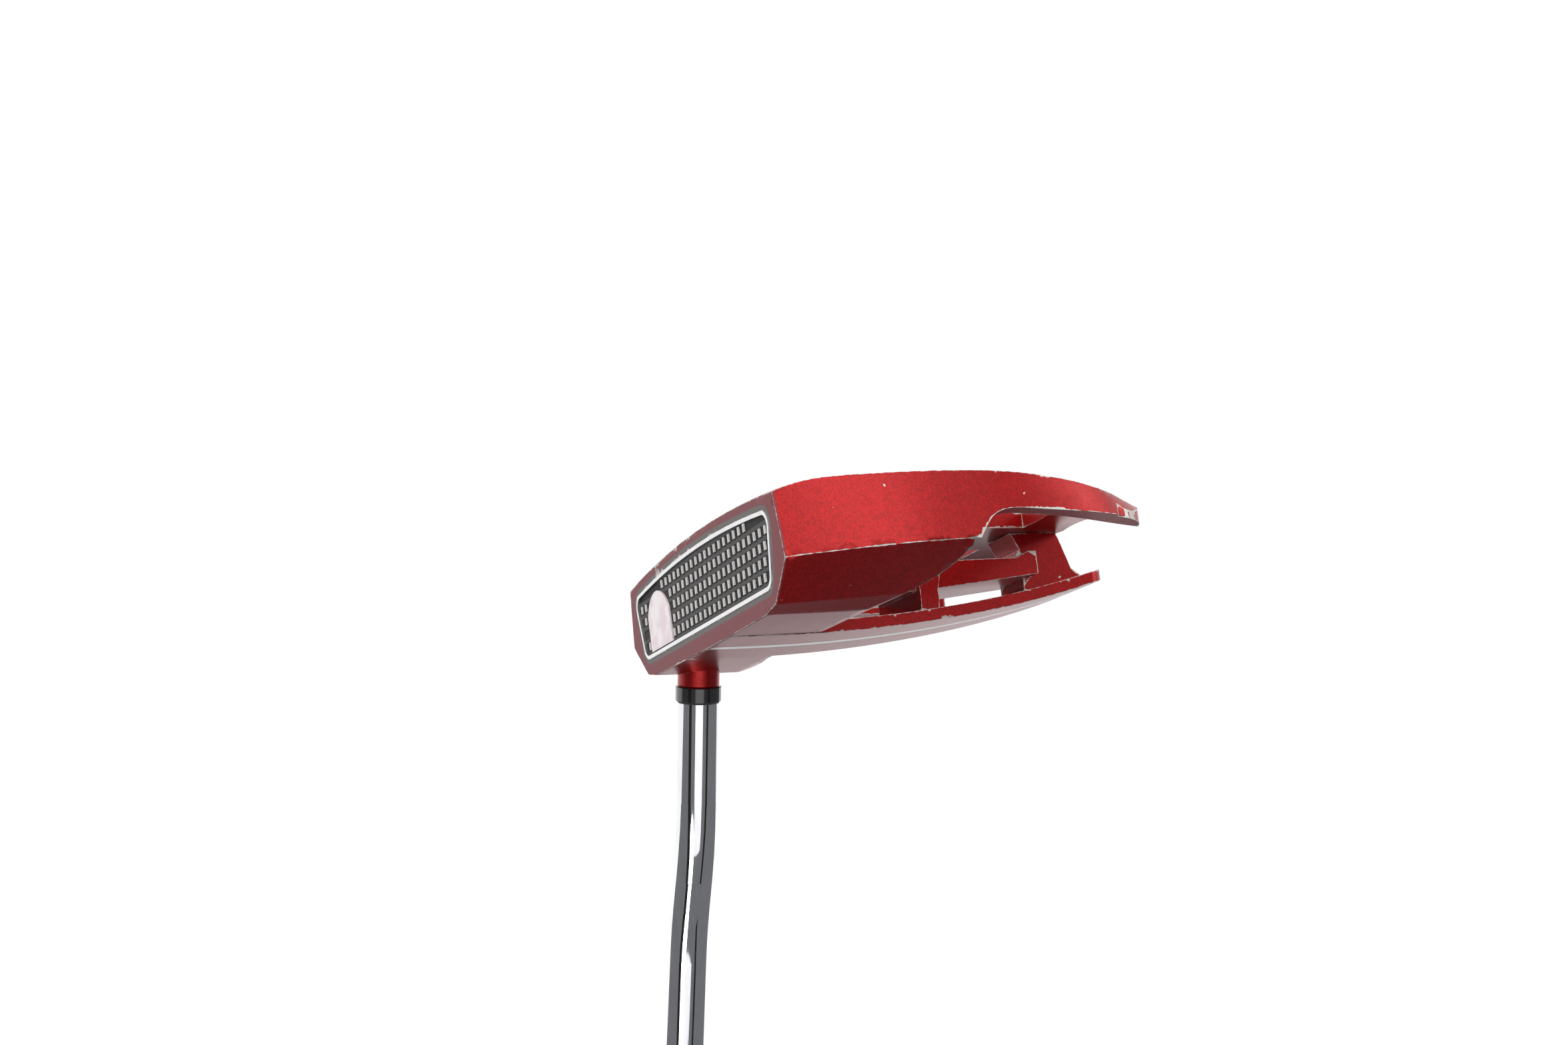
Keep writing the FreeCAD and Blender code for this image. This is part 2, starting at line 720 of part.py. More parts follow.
def ferrule():
    """The black collar that hides the end of the shaft."""
    body = add_body("Ferrule")
    outer, inner, height = dim("ferrule_radius"), dim("tip_radius"), dim("ferrule_height")
    revolve_profile(body, [(inner, 0), (outer - 0.2, 0), (outer, 0.2), (outer, height - 0.45),
                           (outer - 0.35, height), (inner, height)], "FerruleTurning")
    body.Placement = hosel_placement(dim("neck_length"))
    return keep(body, "ferrule")


def epoxy_sleeve():
    """The bond between the peg and the inside of the shaft."""
    body = tube_body("EpoxySleeve", "@tip_radius - @tip_wall", "@peg_radius", "@peg_length - 1")
    body.Placement = hosel_placement(dim("neck_length"))
    return keep(body, "epoxy_sleeve")


def shaft_path():
    """The tip of the shaft's axis and the corners of its two opposite bends."""
    start = hosel_placement(dim("neck_length")).Base
    first = start + lean(dim("tip_lean")) * dim("first_bend_at")
    second = first + lean(dim("neck_lean")) * (dim("second_bend_at") - dim("first_bend_at"))
    return start, first, second


def bend_arc(corner, angle_in, angle_out):
    """The arc that rounds one corner of the shaft's path, with its two tangent points."""
    turn = 1 if angle_out > angle_in else -1
    radius = dim("bend_radius")
    tangent = radius * tan(radians(abs(angle_out - angle_in)) / 2)
    begin = corner - lean(angle_in) * tangent
    end = corner + lean(angle_out) * tangent
    centre = begin + lean(angle_in + 90) * (turn * radius)
    middle = centre - lean((angle_in + angle_out) / 2 + 90) * (turn * radius)
    return begin, middle, end


def lower_tube():
    """The bent tip of the shaft: a ring carried along straight runs joined by tangent arcs."""
    start, first, second = shaft_path()
    begin1, middle1, end1 = bend_arc(first, dim("tip_lean"), dim("neck_lean"))
    begin2, middle2, end2 = bend_arc(second, dim("neck_lean"), 90 - dim("lie_angle"))
    spine = Part.Wire([straight(start, begin1), Part.Arc(begin1, middle1, end1).toShape(),
                       straight(end1, begin2), Part.Arc(begin2, middle2, end2).toShape()])
    walls = []
    for radius in (dim("tip_radius"), dim("tip_radius") - dim("tip_wall")):
        circle = Part.Wire(Part.Circle(start, lean(dim("tip_lean")), radius).toShape())
        walls.append(spine.makePipeShell([circle], True, True))
    tube = doc.addObject("Part::Feature", "LowerTube")
    tube.Shape = walls[0].cut(walls[1])
    return tube, end2


def shaft_axis_length(start):
    """From the second bend to the butt, so that the whole club has its length along the shaft's line."""
    ground_along_axis = start.z / cos(radians(90 - dim("lie_angle")))
    return dim("club_length") - ground_along_axis


def upper_tube(start):
    """The straight stepped tube: each step a little wider, up to the butt size under the grip."""
    body = add_body("UpperTube")
    count = int(dim("step_count"))
    growth = (dim("butt_radius") - dim("tip_radius")) / count
    wall = dim("tip_wall")
    outer = [(dim("tip_radius"), 0.0)]
    for step in range(count):
        height = 40 + step * dim("step_pitch")
        outer.append((outer[-1][0], height))
        outer.append((outer[-1][0] + growth, height + 1.2))
    outer.append((dim("butt_radius"), shaft_axis_length(start)))
    inner = [(radius - wall, height) for radius, height in reversed(outer)]
    revolve_profile(body, outer + inner, "UpperTubeTurning")
    body.Placement = Placement(start, Rotation(Z_AXIS, lean(90 - dim("lie_angle"))))
    return body


def shaft():
    lower, joint = lower_tube()
    upper = upper_tube(joint)
    return keep(fuse("Shaft", [lower, upper]), "shaft"), joint


# ---------------------------------------------------------------------------------------------
# Grip
# ---------------------------------------------------------------------------------------------

def grip_frame(joint, from_butt):
    """A frame on the shaft's axis: its Z up the shaft, its X away from the player, towards the toe."""
    axis = lean(90 - dim("lie_angle"))
    origin = joint + axis * (shaft_axis_length(joint) - from_butt)
    flat_side = Vector(-axis.z, 0, axis.x)
    return Placement(origin, Rotation(flat_side, axis.cross(flat_side), axis, "ZXY"))


def grip_section(height, flat, round_radius, depth):
    """A pistol section: a flat for the thumbs on the toe side and a round belly on the player's side."""
    half = round_radius * (1 - 0.55 ** 2) ** 0.5
    shoulder = (flat * 0.62, round_radius * 0.965)
    flank = (-depth * 0.72, round_radius * 0.72)

    def arc(*points):
        return Part.Arc(*[Vector(u, v, height) for u, v in points]).toShape()

    return Part.Wire([
        straight(Vector(flat, -half, height), Vector(flat, half, height)),
        arc((flat, half), shoulder, (0, round_radius)),
        arc((0, round_radius), flank, (-depth, 0)),
        arc((-depth, 0), (flank[0], -flank[1]), (0, -round_radius)),
        arc((0, -round_radius), (shoulder[0], -shoulder[1]), (flat, -half)),
    ])


GRIP_STATIONS = [(0, 8.9, 9.3, 9.3), (8, 9.6, 10.2, 10.2), (70, 10.2, 11.2, 11.0), (140, 10.8, 12.4, 12.6),
                 (205, 11.4, 13.2, 16.0), (250, 11.7, 13.6, 18.5), (262, 11.4, 13.4, 18.0)]


def grip_sleeve(joint):
    """The moulded rubber sleeve, lofted through its sections and bored for the taped shaft."""
    sleeve = doc.addObject("Part::Feature", "GripSleeve")
    solid = Part.makeLoft([grip_section(*station) for station in GRIP_STATIONS], True, False)
    bore_radius = dim("butt_radius") + dim("grip_tape_thick")
    bore = Part.makeCylinder(bore_radius, dim("grip_length") + 10, Vector(0, 0, -5))
    sleeve.Shape = solid.cut(bore)
    sleeve.Placement = grip_frame(joint, GRIP_STATIONS[-1][0])
    return keep(sleeve, "grip_sleeve")


def grip_cap(joint):
    """The butt cap: it closes the end of the sleeve and the shaft, with a small vent hole."""
    height, flat, round_radius, depth = GRIP_STATIONS[-1]
    cap = doc.addObject("Part::Feature", "GripCap")
    low = grip_section(0, flat, round_radius, depth)
    top = grip_section(dim("cap_thick"), flat - 1.2, round_radius - 1.2, depth - 1.2)
    vent = Part.makeCylinder(dim("vent_radius"), 40, Vector(0, 0, -20))
    cap.Shape = Part.makeLoft([low, top], True, True).cut(vent)
    cap.Placement = grip_frame(joint, 0)
    return keep(cap, "grip_cap")


def grip_tape(joint):
    body = tube_body("GripTape", "@butt_radius + @grip_tape_thick", "@butt_radius", "@grip_length - 8")
    body.Placement = grip_frame(joint, dim("grip_length") - 8)
    return keep(body, "grip_tape")


# ---------------------------------------------------------------------------------------------
# Build, check and write
# ---------------------------------------------------------------------------------------------

head_body()
spine_bridge()
bridge_bond()
keep(line_strip("SightLine"), "sight_line")
insert_tape()
insert_bed()
insert_rim()
face_hinges()
badge()
for weight_side, weight_sign in (("toe", -1), ("heel", 1)):
    sole_weight(weight_side, weight_sign)
    weight_ring(weight_side, weight_sign)
hosel()
epoxy_sleeve()
ferrule()
_, bend_end = shaft()
grip_tape(bend_end)
grip_sleeve(bend_end)
grip_cap(bend_end)
doc.recompute()

for obj in doc.Objects:
    if {"Invalid", "Error"} & set(obj.State):
        raise RuntimeError(f"{obj.Label} did not compute: {obj.State}")
for part in sub_parts:
    if part.Shape.isNull() or not part.Shape.isValid() or not part.Shape.Solids:
        raise RuntimeError(f"{part.Label} has no valid solid")

os.makedirs("parts", exist_ok=True)
for part in sub_parts:
    part.Shape.exportStep(f"parts/{part.Label}.step")
    bounds = part.Shape.BoundBox
    print(f"{part.Label:14s} solids {len(part.Shape.Solids):3d}  volume {part.Shape.Volume:10.1f}  "
          f"x {bounds.XMin:7.1f} {bounds.XMax:7.1f}  y {bounds.YMin:7.1f} {bounds.YMax:7.1f}  "
          f"z {bounds.ZMin:7.1f} {bounds.ZMax:7.1f}")
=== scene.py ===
# %% [markdown]
# A golf putter, finished on top of its imported CAD model. The CAD holds the shapes: the cast head
# with its two wings, the crown bridge, the face insert with its steel hinges, the hosel, the bent
# steel shaft and the grip. What it lacks is finish. This lesson gives each piece its surface: candy
# paint that has chipped to bare metal on the sharp edges, dark elastomer with drawn grooves, plated
# steel, rubber. It starts by loading the model.

from math import pi, radians, tan

import bmesh
import bpy
import numpy as np
from mathutils import Matrix, Vector


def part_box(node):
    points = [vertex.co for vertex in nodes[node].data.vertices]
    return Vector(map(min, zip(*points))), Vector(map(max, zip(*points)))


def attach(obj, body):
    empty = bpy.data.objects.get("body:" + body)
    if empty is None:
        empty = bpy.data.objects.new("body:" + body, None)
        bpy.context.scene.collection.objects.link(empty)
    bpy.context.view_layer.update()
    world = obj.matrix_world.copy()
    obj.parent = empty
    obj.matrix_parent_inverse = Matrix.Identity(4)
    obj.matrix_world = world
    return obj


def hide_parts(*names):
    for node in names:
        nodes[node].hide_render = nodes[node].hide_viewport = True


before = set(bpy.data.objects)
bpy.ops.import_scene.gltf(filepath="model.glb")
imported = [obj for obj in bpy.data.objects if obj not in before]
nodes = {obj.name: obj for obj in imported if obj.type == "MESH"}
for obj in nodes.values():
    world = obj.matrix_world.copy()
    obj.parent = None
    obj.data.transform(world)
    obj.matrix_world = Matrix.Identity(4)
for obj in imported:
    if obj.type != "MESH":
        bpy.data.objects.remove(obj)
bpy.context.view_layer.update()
MM = 0.001

# %% [markdown]
# Two directions guide the patterns. The face leans back by the loft, so the front of the head is
# found along a sloping plane. The upper shaft leans towards the heel, and the net on the grip climbs
# along it. The lean and the front of the face are read off the boxes of the CAD pieces.

# %% Directions taken from the model
LOFT = radians(3.0)


def middle(node):
    """The middle of a node's box."""
    low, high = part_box(node)
    return (np.array(low) + np.array(high)) / 2


def unit(vector):
    return vector / np.linalg.norm(vector)


butt_axis = unit(middle("grip_cap") - middle("grip_tape"))
face_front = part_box("insert_rim")[0][1]
print("shaft leans", round(np.degrees(np.arccos(butt_axis[2])), 1), "degrees")

# %% [markdown]
# A finish is a short sum: so much of one noise, less the distance to an edge, cut off softly. Writing
# it as wires between Math nodes hides it, so a small class wraps a socket and lets Python's own
# operators add the nodes. A second class holds one material and makes every other kind of node.

# %% Shader sums written as Python


class Term:
    """An output socket that can be added, subtracted and multiplied."""

    def __init__(self, recipe, socket):
        self.recipe = recipe
        self.socket = socket

    def combine(self, operation, first, second):
        return self.recipe.node("Math", {"operation": operation}, {0: first, 1: second})

    def __add__(self, other):
        return self.combine("ADD", self, other)

    def __radd__(self, other):
        return self.combine("ADD", other, self)

    def __sub__(self, other):
        return self.combine("SUBTRACT", self, other)

    def __rsub__(self, other):
        return self.combine("SUBTRACT", other, self)

    def __mul__(self, other):
        return self.combine("MULTIPLY", self, other)

    def __rmul__(self, other):
        return self.combine("MULTIPLY", other, self)


class Recipe:
    """One material: a Principled shader with its constants, and the nodes that feed it."""

    def __init__(self, name, **constants):
        self.material = bpy.data.materials.new(name)
        self.material.use_nodes = True
        self.tree = self.material.node_tree
        self.shader = self.tree.nodes["Principled BSDF"]
        for socket, value in constants.items():
            self.shader.inputs[socket.replace("_", " ")].default_value = value

    def plug(self, socket, value):
        if isinstance(value, Term):
            self.tree.links.new(value.socket, socket)
        else:
            socket.default_value = value

    def node(self, kind, settings, inputs, output=0):
        """A node of any kind: its settings first, then its sockets by name or number."""
        made = self.tree.nodes.new("ShaderNode" + kind)
        for key, value in settings.items():
            setattr(made, key, value)
        for key, value in inputs.items():
            self.plug(made.inputs[key], value)
        return Term(self, made.outputs[output])

    def feed(self, **sockets):
        for name, value in sockets.items():
            self.plug(self.shader.inputs[name.replace("_", " ")], value)
        return self

    def place(self):
        return self.node("TexCoord", {}, {}, "Object")

    def axis(self, name):
        """One coordinate of the place on the object, in metres."""
        return self.node("SeparateXYZ", {}, {0: self.place()}, name)

    def along(self, direction):
        """How far the place lies along a direction, in metres."""
        return self.node("VectorMath", {"operation": "DOT_PRODUCT"},
                         {0: self.place(), 1: tuple(direction)}, "Value")

    def stretched(self, scale):
        """The place with each coordinate multiplied, to draw a pattern out along an axis."""
        return self.node("VectorMath", {"operation": "MULTIPLY"}, {0: self.place(), 1: scale})

    def noise(self, size, detail=3.0, vector=None):
        """Soft noise from about 0.3 to 0.7 whose blotches are about size millimetres across."""
        where = self.place() if vector is None else vector
        return self.node("TexNoise", {}, {"Vector": where, "Scale": 1 / (size * MM), "Detail": detail})

    def soft_step(self, value, low, high):
        """0 below low, 1 above high, and an S curve between."""
        return self.node("MapRange", {"interpolation_type": "SMOOTHSTEP"},
                         {0: value, 1: low, 2: high, 3: 0.0, 4: 1.0})

    def near(self, value, reach, softness):
        """1 where value is well under reach, 0 where it is well over."""
        return 1 - self.soft_step(value, reach - softness, reach + softness)

    def function(self, operation, value, other=0.0):
        return self.node("Math", {"operation": operation}, {0: value, 1: other})

    def mix(self, share, first, second):
        """From the first colour to the second."""
        return self.node("Mix", {"data_type": "RGBA"}, {0: share, 6: first, 7: second}, 2)

    def attribute(self, name):
        return self.node("Attribute", {"attribute_name": name}, {}, "Fac")

    def bump(self, height, depth, strength=1.0):
        """A normal tilted by a height that runs from 0 to 1, depth millimetres deep."""
        return self.node("Bump", {}, {"Height": height, "Distance": depth * MM, "Strength": strength})


def colour(red, green, blue):
    return (red, green, blue, 1.0)


def finish_node(node, recipe):
    """Give a CAD node its material, in every slot it has."""
    mesh = nodes[node].data
    for index in range(len(mesh.materials)):
        mesh.materials[index] = recipe.material


print("shader helpers ready")

# %% [markdown]
# The paint of the real head has gone from its sharp edges. To know where those are, the shader needs
# the distance to the nearest sharp edge at every point. The CAD mesh is too coarse to carry it,
# because its flat faces are a few long triangles. So the head and the bridge are copied, merged, and
# cut by parallel planes until no face is wider than a slice. Each point then
# stores its distance, in millimetres, to points set closely along the sharp edges. A distance grows
# evenly away from an edge, so it stays right between the points.

# %% Measuring distance to edges
EDGE_ANGLE = radians(24)
SAMPLE_STEP = 0.2 * MM
WELD = 0.002 * MM
BLOCK = 500


def sharp_lines(mesh_edges, angle):
    """The two ends of every edge where the surface turns by more than angle, as arrays."""
    sharp = [e for e in mesh_edges if len(e.link_faces) == 2 and e.calc_face_angle() > angle]
    starts = np.array([e.verts[0].co for e in sharp])
    ends = np.array([e.verts[1].co for e in sharp])
    return starts, ends


def points_along(starts, ends):
    """Points at an even step along straight lines: start + (end - start) * k / count."""
    counts = np.maximum(2, np.ceil(np.linalg.norm(ends - starts, axis=1) / SAMPLE_STEP)).astype(int)
    which = np.repeat(np.arange(len(counts)), counts)
    step = np.arange(len(which)) - np.repeat(np.cumsum(counts) - counts, counts)
    share = (step / (counts[which] - 1))[:, None]
    return starts[which] + (ends[which] - starts[which]) * share


def distances(places, targets):
    """Distance from each place to the nearest target, in millimetres, one block of places at a time."""
    target_squares = (targets ** 2).sum(axis=1)
    nearest = []
    for block in np.array_split(places, len(places) // BLOCK + 1):
        squares = (block ** 2).sum(axis=1)[:, None] + target_squares - 2 * block @ targets.T
        nearest.append(np.sqrt(np.maximum(squares.min(axis=1), 0)))
    return np.concatenate(nearest) / MM


def merged(node):
    """A bmesh copy of a node with its doubled points joined."""
    copy = bmesh.new()
    copy.from_mesh(nodes[node].data)
    bmesh.ops.remove_doubles(copy, verts=copy.verts, dist=WELD)
    return copy


rim_copy = merged("insert_rim")
rim_points = points_along(*sharp_lines(rim_copy.edges, EDGE_ANGLE))
rim_copy.free()
print("points along the rim:", len(rim_points))

# %% Copies of the painted castings
SLICE = 2.0 * MM
SLIVER = 0.02 * MM


def sliced(copy):
    """Cut the copy by three sets of parallel planes, so that no face is wider than a slice."""
    corners = np.array([v.co for v in copy.verts])
    for axis in range(3):
        across = [float(axis == k) for k in range(3)]
        for level in np.arange(corners[:, axis].min() + SLICE, corners[:, axis].max(), SLICE):
            everything = copy.verts[:] + copy.edges[:] + copy.faces[:]
            point = [float(level) * share for share in across]
            bmesh.ops.bisect_plane(copy, geom=everything, plane_co=point, plane_no=across)
    bmesh.ops.dissolve_degenerate(copy, dist=SLIVER, edges=copy.edges)


def painted_copy(name, node, borders):
    """A finer copy of a casting, with its distances to sharp edges and borders, for the CAD node."""
    copy = merged(node)
    lines = sharp_lines(copy.edges, EDGE_ANGLE)
    sliced(copy)
    mesh = bpy.data.meshes.new(name)
    copy.to_mesh(mesh)
    copy.free()
    places = np.empty(len(mesh.vertices) * 3)
    mesh.vertices.foreach_get("co", places)
    places = places.reshape(-1, 3)
    for label, targets in {"edge": points_along(*lines), **borders}.items():
        layer = mesh.attributes.new(label, "FLOAT", "POINT")
        layer.data.foreach_set("value", distances(places, targets))
    mesh.polygons.foreach_set("use_smooth", [True] * len(mesh.polygons))
    mesh.set_sharp_from_angle(angle=EDGE_ANGLE)
    piece = bpy.data.objects.new(name, mesh)
    bpy.context.collection.objects.link(piece)
    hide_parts(node)
    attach(piece, "root")
    print(name, "faces:", len(mesh.polygons))
    return piece


bridge_copy = merged("spine_bridge")
bridge_lines = points_along(*sharp_lines(bridge_copy.edges, EDGE_ANGLE))
bridge_copy.free()
bridge_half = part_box("spine_bridge")[1][0]
on_the_side = np.abs(np.abs(bridge_lines[:, 0]) - bridge_half) < 0.3 * MM
borders = {"rim": rim_points, "seam": bridge_lines[on_the_side]}
head = painted_copy("painted_head", "head_body", borders)
bridge = painted_copy("painted_bridge", "spine_bridge", borders)

# %% [markdown]
# Candy paint is a clear red over bright flakes. The flakes are cells about a third of a millimetre
# across, each a little lighter or darker, with a faint step to its neighbours, under a clear coat. On
# the sharp edges the paint has chipped: the distance to the edge is compared with a ragged noise, whose
# reach is itself widened here and there by a broad noise, so some stretches are bare and others whole.
# The front of the head is duller than its sides, and a dark grey border runs round the insert. A thin
# dark line along the bridge's sides on the crown is painted shade in the seam between bridge and head.

# %% Candy paint, chipped at the edges
DEEP_RED = colour(0.19, 0.002, 0.003)
LIT_RED = colour(0.52, 0.006, 0.006)
FACE_RED = colour(0.20, 0.035, 0.045)
BORDER_GREY = colour(0.13, 0.125, 0.12)
BARE_METAL = colour(0.60, 0.58, 0.54)
# Painted shade for the seam between the bridge and the head.
SEAM_SHADE = colour(0.03, 0.006, 0.008)
FLAKE_SIZE = 0.33 * MM
FRONT_DEPTH = 0.25 * MM
BORDER_WIDTH = 1.15
SEAM_WIDTH = 0.20
SEAM_END = 8.5 * MM
THIN_WEAR = 0.17
HEAD_CHIPS = 0.55
BRIDGE_CHIPS = 0.05
METALLIC_SHARE = 0.72
GLOSS = 0.35


def candy_paint(name, chips=None):
    """Red candy paint. Chips is how far, in millimetres, it has gone from the worst edges."""
    paint = Recipe(name, Coat_Roughness=0.22, Coat_IOR=1.4)
    flake = paint.node("TexVoronoi", {}, {"Vector": paint.place(), "Scale": 1 / FLAKE_SIZE}, "Color")
    flake_tone = paint.node("SeparateColor", {}, {0: flake}, "Red")
    broad = paint.noise(14, 2)
    red = paint.mix(0.25 + 0.5 * flake_tone + 0.3 * (broad - 0.5), DEEP_RED, LIT_RED)
    if chips is None:
        return paint.feed(
            Base_Color=red,
            Metallic=METALLIC_SHARE,
            Roughness=0.34,
            Coat_Weight=GLOSS,
            Normal=paint.bump(flake_tone, 0.012, 0.35),
        )
    ragged = paint.noise(0.9, 6)
    patches = paint.noise(9, 3)
    spread = paint.noise(34, 2)
    worst = paint.soft_step(patches, 0.50, 0.66) * paint.soft_step(spread, 0.42, 0.60)
    reach = THIN_WEAR + chips * worst
    edge = paint.attribute("edge")
    chipped = paint.soft_step(reach * (ragged * 2.2 - 0.35) - edge, -0.02, 0.06)
    specks = paint.soft_step(paint.noise(2.6, 5), 0.735, 0.745)
    bare = paint.function("MAXIMUM", chipped, specks)
    slope = paint.axis("Y") - tan(LOFT) * paint.axis("Z")
    front = paint.near(slope, face_front + FRONT_DEPTH, 0.12 * MM)
    border = paint.near(paint.attribute("rim"), BORDER_WIDTH, 0.25) * front
    # Painted shade: a thin dark line on the crown along the bridge's sides, where the seam between
    # bridge and head lies.
    seam = paint.near(paint.attribute("seam"), SEAM_WIDTH, 0.08) * (1 - front)
    seam = seam * paint.near(paint.axis("Y"), SEAM_END, 0.2 * MM)
    tone = paint.mix(front, red, FACE_RED)
    tone = paint.mix(border, tone, BORDER_GREY)
    tone = paint.mix(seam, tone, SEAM_SHADE)
    tone = paint.mix(bare, tone, BARE_METAL)
    whole = 1 - bare
    return paint.feed(
        Base_Color=tone,
        Metallic=bare + whole * (METALLIC_SHARE - 0.50 * front),
        Roughness=0.34 + 0.22 * front + 0.06 * bare,
        Coat_Weight=whole * (GLOSS - 0.30 * front),
        Normal=paint.bump(whole + 0.12 * flake_tone, 0.05, 0.5),
    )


head.data.materials.append(candy_paint("red_candy_head", HEAD_CHIPS).material)
bridge.data.materials.append(candy_paint("red_candy_bridge", BRIDGE_CHIPS).material)
finish_node("hosel", candy_paint("red_candy_neck"))
print("paint done")

# %% [markdown]
# The insert is dark grey elastomer with five grooves along it, and the hinges stand in the grooves.
# The rows are counted from the box of the hinges: the fraction of a row's pitch tells how far a point
# lies from the middle of its groove. The bed of the model is flat, so the grooves are only drawn on
# it, with bump and with a darker tone that is painted shade in the grooves. A closer model would cut
# them into the bed.

# %% Face insert
HINGE_ROWS = 5
HINGE_HEIGHT = 1.7 * MM
rows_low, rows_high = [corner[2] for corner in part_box("face_hinges")]
first_row = rows_low + HINGE_HEIGHT / 2
row_pitch = (rows_high - rows_low - HINGE_HEIGHT) / (HINGE_ROWS - 1)

bed = Recipe("insert_elastomer", Roughness=0.62, Specular_IOR_Level=0.35)
row_place = (bed.axis("Z") - (first_row - row_pitch / 2)) * (1 / row_pitch)
off_row = bed.function("ABSOLUTE", bed.function("FRACT", row_place) - 0.5)
inside = bed.soft_step(row_place, -0.05, 0.05) * bed.near(row_place, HINGE_ROWS, 0.05)
# The groove mask sets both the bump and the painted shade in the grooves.
groove_and_shade = bed.near(off_row, 0.33, 0.04) * inside
grain = bed.noise(0.35, 4)
bed.feed(
    # Painted shade: the grooves are drawn much darker than the standing bed.
    Base_Color=bed.mix(groove_and_shade, colour(0.070, 0.070, 0.072), colour(0.006, 0.006, 0.007)),
    Roughness=0.50 + 0.25 * grain,
    Normal=bed.bump((1 - groove_and_shade) + 0.08 * grain, 0.35, 0.9),
)
finish_node("insert_bed", bed)

hinge = Recipe("hinge_steel_satin", Metallic=1.0)
brushed = hinge.noise(0.5, 3, hinge.stretched((1, 1, 0.2)))
hinge.feed(Base_Color=hinge.mix(brushed, colour(0.34, 0.33, 0.32), colour(0.66, 0.65, 0.63)),
           Roughness=0.22 + 0.2 * brushed)
finish_node("face_hinges", hinge)

rim = Recipe("rim_satin", Metallic=1.0)
rim_noise = rim.noise(1.2, 4)
rim.feed(Base_Color=rim.mix(rim_noise, colour(0.62, 0.61, 0.60), colour(0.90, 0.89, 0.88)),
         Roughness=0.20 + 0.15 * rim_noise)
finish_node("insert_rim", rim)

badge = Recipe("badge_enamel", Coat_Weight=0.8, Coat_Roughness=0.05, Roughness=0.35)
cloudy = badge.noise(5, 3)
badge.feed(Base_Color=badge.mix(badge.soft_step(cloudy, 0.38, 0.62), colour(0.90, 0.84, 0.87),
                                colour(0.76, 0.60, 0.66)),
           Normal=badge.bump(badge.noise(1.5, 2), 0.02, 0.3))
finish_node("badge", badge)
print("rows every", round(row_pitch / MM, 2), "mm")

# %% [markdown]
# Small pieces that are mostly hidden still have their own finish: the foam tape behind the insert,
# the cured films of adhesive, the soft rings, and the cloth tape inside the grip. Each is one noise
# between two tones, so one function makes them all.

# %% Films, tapes and rings


def mottled(name, dark, light, size, **constants):
    """A plain finish whose tone drifts between two colours over blotches of a size."""
    recipe = Recipe(name, **constants)
    drift = recipe.noise(size, 4)
    recipe.feed(Base_Color=recipe.mix(recipe.soft_step(drift, 0.3, 0.7), dark, light),
                Normal=recipe.bump(drift, 0.03, 0.5))
    return recipe


ring_soft = mottled("ring_soft", colour(0.010, 0.010, 0.010), colour(0.03, 0.03, 0.03), 1, Roughness=0.6)
soft_finishes = {
    "sight_line": mottled(
        "line_enamel", colour(0.88, 0.88, 0.92), colour(0.96, 0.96, 0.98), 3, Roughness=0.25),
    "bridge_bond": mottled(
        "bond_cured", colour(0.55, 0.50, 0.36), colour(0.70, 0.66, 0.52), 2, Roughness=0.5),
    "insert_tape": mottled(
        "foam_tape", colour(0.66, 0.63, 0.54), colour(0.80, 0.78, 0.70), 0.6, Roughness=0.9),
    "epoxy_sleeve": mottled(
        "epoxy_cured", colour(0.50, 0.36, 0.14), colour(0.66, 0.52, 0.26), 3, Roughness=0.25),
    "grip_tape": mottled(
        "tape_crepe", colour(0.62, 0.58, 0.46), colour(0.80, 0.77, 0.66), 0.8, Roughness=0.95),
    "toe_weight_ring": ring_soft,
    "heel_weight_ring": ring_soft,
}
for node, recipe in soft_finishes.items():
    finish_node(node, recipe)
print("soft finishes:", len(soft_finishes))

# %% [markdown]
# Turned metal keeps the marks of the tool as fine rings about its axis. The weights are turned about
# an upright axis, so their rings are a wave of the distance to it. The ferrule is a glossy black
# collar polished round the shaft, so its faint marks are drawn out sideways, not along the shaft.

# %% Weights and ferrule


def turned(name, axis_at, pitch, tone):
    """Steel with rings about an upright axis: the wave of the distance to it, over the pitch."""
    recipe = Recipe(name, Metallic=1.0)
    aside = recipe.axis("X") - float(axis_at[0])
    deep = recipe.axis("Y") - float(axis_at[1])
    distance = recipe.function("SQRT", aside * aside + deep * deep)
    rings = recipe.function("SINE", distance * (2 * pi / pitch)) * 0.5 + 0.5
    recipe.feed(Base_Color=tone, Roughness=0.24 + 0.12 * rings, Normal=recipe.bump(rings, 0.02, 0.4))
    return recipe


for node in ("toe_weight", "heel_weight"):
    finish_node(node, turned(node + "_steel", middle(node), 0.4 * MM, colour(0.56, 0.56, 0.57)))

collar = Recipe("ferrule_polished", Coat_Weight=1.0, Coat_Roughness=0.03)
polish = collar.noise(0.8, 2, collar.stretched((0.15, 0.15, 1.0)))
collar.feed(Base_Color=collar.mix(polish, colour(0.006, 0.006, 0.007), colour(0.02, 0.02, 0.022)),
            Roughness=0.10 + 0.12 * polish)
finish_node("ferrule", collar)
print("turned pieces done")

# %% [markdown]
# The shaft is plated. Plating is nearly a mirror, so the room does the painting, and the shader only
# adds faint streaks drawn out along the tube and a slight haze from handling.

# %% Plated shaft
plating = Recipe("shaft_plating", Metallic=1.0)
streak = plating.noise(1.5, 3, plating.stretched((1.0, 1.0, 0.06)))
haze = plating.noise(40, 3)
plating.feed(
    Base_Color=plating.mix(streak, colour(0.70, 0.70, 0.71), colour(0.88, 0.88, 0.89)),
    Roughness=0.035 + 0.05 * plating.soft_step(haze, 0.45, 0.7) + 0.03 * streak,
)
finish_node("shaft", plating)
print("shaft done")

